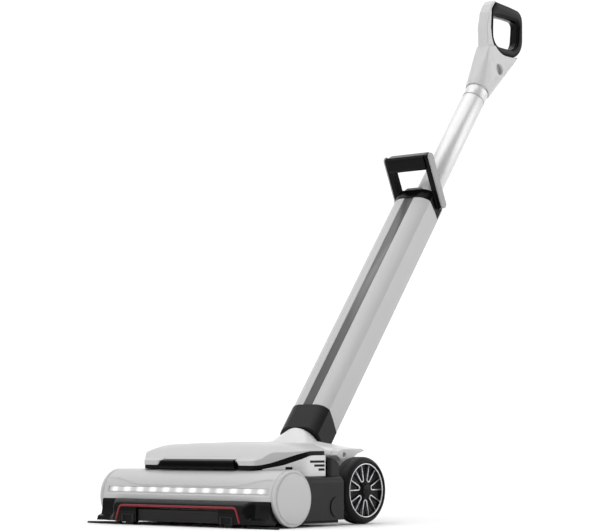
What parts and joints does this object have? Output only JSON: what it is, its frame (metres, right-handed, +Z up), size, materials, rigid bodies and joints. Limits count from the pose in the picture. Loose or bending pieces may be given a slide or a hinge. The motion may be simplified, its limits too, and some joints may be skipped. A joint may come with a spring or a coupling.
{
  "type": "cordless upright vacuum cleaner",
  "caption": "Cordless upright vacuum cleaner: low wheeled floor head with brush bar and lamp strip, reclining yoke, slim column with battery carry handle, tube and loop grip.",
  "frame": {"origin": "on the floor, under the middle of the whole machine's box at its resting lean", "axes": "+X to the machine's left, the side of the brush bar's release cap, +Y towards the user, -Y the way the floor head faces, +Z up"},
  "size_m": [0.358, 0.837, 0.848],
  "materials": {
    "dark_plastic": "fine satin texture",
    "cast_core": "black anodised",
    "black_plastic": "semi-gloss",
    "light_shell": "gloss",
    "white_plastic": "gloss",
    "stripe_grey": "satin",
    "mid_grey_plastic": "satin",
    "tube_white": "painted gloss",
    "steel": "brushed",
    "silver_trim": "bright satin",
    "red_trim": "gloss",
    "rubber": "matt",
    "tyre": "matt",
    "clear_lens": "clear",
    "clear_bin": "tinted clear",
    "circuit": "satin",
    "bristle": "nylon bristle",
    "filter": "pleated felt",
    "cell_wrap": "satin",
    "wire": "satin"
  },
  "bodies": {
    "floor_head": {"chassis": "dark_plastic", "hood": "light_shell", "front_bumper": "dark_plastic", "bumper_trim": "red_trim", "sole_plate": "steel", "edge_strips": "rubber", "vent_panel_left": "white_plastic", "vent_panel_right": "white_plastic", "led_lens": "clear_lens", "led_board": "circuit", "fixed_end_cap": "light_shell", "suction_motor": "steel", "brush_motor": "steel", "drive_belt": "rubber", "control_board": "circuit", "axle": "steel", "chassis_screws": "steel"},
    "brush_bar": {"brush_core": "cast_core", "brush_bristles": "bristle"},
    "motor_shaft": {"motor_pulley": "black_plastic"},
    "fan": {"motor_fan": "dark_plastic"},
    "end_cap": {"release_end_cap": "light_shell"},
    "gate": {"front_gate": "black_plastic"},
    "roller_left": {"front_roller_left": "black_plastic"},
    "roller_right": {"front_roller_right": "black_plastic"},
    "bin_cartridge": {"lid": "light_shell", "lid_band": "black_plastic", "dust_bin": "clear_bin", "bin_filter": "filter"},
    "latch": {"bin_latch": "black_plastic"},
    "wheel_left": {"tyre_left": "tyre", "wheel_disc_left": "dark_plastic", "wheel_trim_left": "silver_trim", "hub_cap_left": "dark_plastic"},
    "wheel_right": {"tyre_right": "tyre", "wheel_disc_right": "dark_plastic", "wheel_trim_right": "silver_trim", "hub_cap_right": "dark_plastic"},
    "yoke": {"yoke_bridge": "white_plastic", "yoke_arm_left": "white_plastic", "yoke_arm_right": "white_plastic", "yoke_screws": "steel"},
    "column": {"collar": "dark_plastic", "column_shell": "light_shell", "column_back": "light_shell", "column_stripe": "stripe_grey", "charge_inlet": "black_plastic", "swivel_bolt": "steel", "upper_tube": "tube_white", "tube_ring": "mid_grey_plastic", "wiring": "wire", "grip_housing": "white_plastic", "grip_loop": "black_plastic"},
    "battery": {"battery_case": "dark_plastic", "battery_cells": "cell_wrap", "carry_handle": "black_plastic", "handle_side_covers": "mid_grey_plastic"},
    "battery_button": {"release_button": "mid_grey_plastic"},
    "switch": {"power_button": "mid_grey_plastic"}
  },
  "joints": [
    {"name": "wheel_left_spin", "type": "hinge", "parent": "floor_head", "child": "wheel_left", "pos_m": [0, -0.1905, 0.0465], "axis": [1, 0, 0], "continuous": true},
    {"name": "wheel_right_spin", "type": "hinge", "parent": "floor_head", "child": "wheel_right", "pos_m": [0, -0.1905, 0.0465], "axis": [1, 0, 0], "continuous": true},
    {"name": "roller_left_spin", "type": "hinge", "parent": "floor_head", "child": "roller_left", "pos_m": [0, -0.409, 0.0066], "axis": [1, 0, 0], "continuous": true},
    {"name": "roller_right_spin", "type": "hinge", "parent": "floor_head", "child": "roller_right", "pos_m": [0, -0.409, 0.0066], "axis": [1, 0, 0], "continuous": true},
    {"name": "brush_spin", "type": "hinge", "parent": "floor_head", "child": "brush_bar", "pos_m": [0, -0.3685, 0.03], "axis": [1, 0, 0], "continuous": true},
    {"name": "motor_spin", "type": "hinge", "parent": "floor_head", "child": "motor_shaft", "pos_m": [0, -0.3025, 0.04], "axis": [1, 0, 0], "continuous": true},
    {"name": "fan_spin", "type": "hinge", "parent": "floor_head", "child": "fan", "pos_m": [0, -0.2875, 0.044], "axis": [1, 0, 0], "continuous": true},
    {"name": "end_cap_pull", "type": "slide", "parent": "floor_head", "child": "end_cap", "axis": [1, 0, 0], "range_m": [0, 0.03]},
    {"name": "gate_swing", "type": "hinge", "parent": "floor_head", "child": "gate", "pos_m": [0, -0.4127, 0.0208], "axis": [1, 0, 0], "range_deg": [0, 25]},
    {"name": "bin_lift", "type": "slide", "parent": "floor_head", "child": "bin_cartridge", "axis": [0, 0, 1], "range_m": [0, 0.11]},
    {"name": "latch_tilt", "type": "hinge", "parent": "bin_cartridge", "child": "latch", "pos_m": [0, -0.3705, 0.088], "axis": [-1, 0, 0], "range_deg": [0, 25], "stiffness_Nm_per_rad": 0.05},
    {"name": "recline", "type": "hinge", "parent": "floor_head", "child": "yoke", "pos_m": [0, -0.1905, 0.0465], "axis": [-1, 0, 0], "range_deg": [-37, 50]},
    {"name": "swivel", "type": "hinge", "parent": "yoke", "child": "column", "pos_m": [0, -0.14885, 0.10828], "axis": [0, 0.84, 0.5426], "range_deg": [-35, 35]},
    {"name": "battery_slide", "type": "slide", "parent": "column", "child": "battery", "axis": [0, 0.6038, 0.7972], "range_m": [0, 0.238]},
    {"name": "release_press", "type": "slide", "parent": "battery", "child": "battery_button", "axis": [0, -0.6038, -0.7972], "range_m": [0, 0.003], "stiffness_N_per_m": 600},
    {"name": "switch_press", "type": "slide", "parent": "column", "child": "switch", "axis": [-1, 0, 0], "range_m": [0, 0.0015], "stiffness_N_per_m": 900}
  ],
  "couplings": [
    {"joint": "motor_spin", "follows": "brush_spin", "ratio": 1.9706}
  ]
}
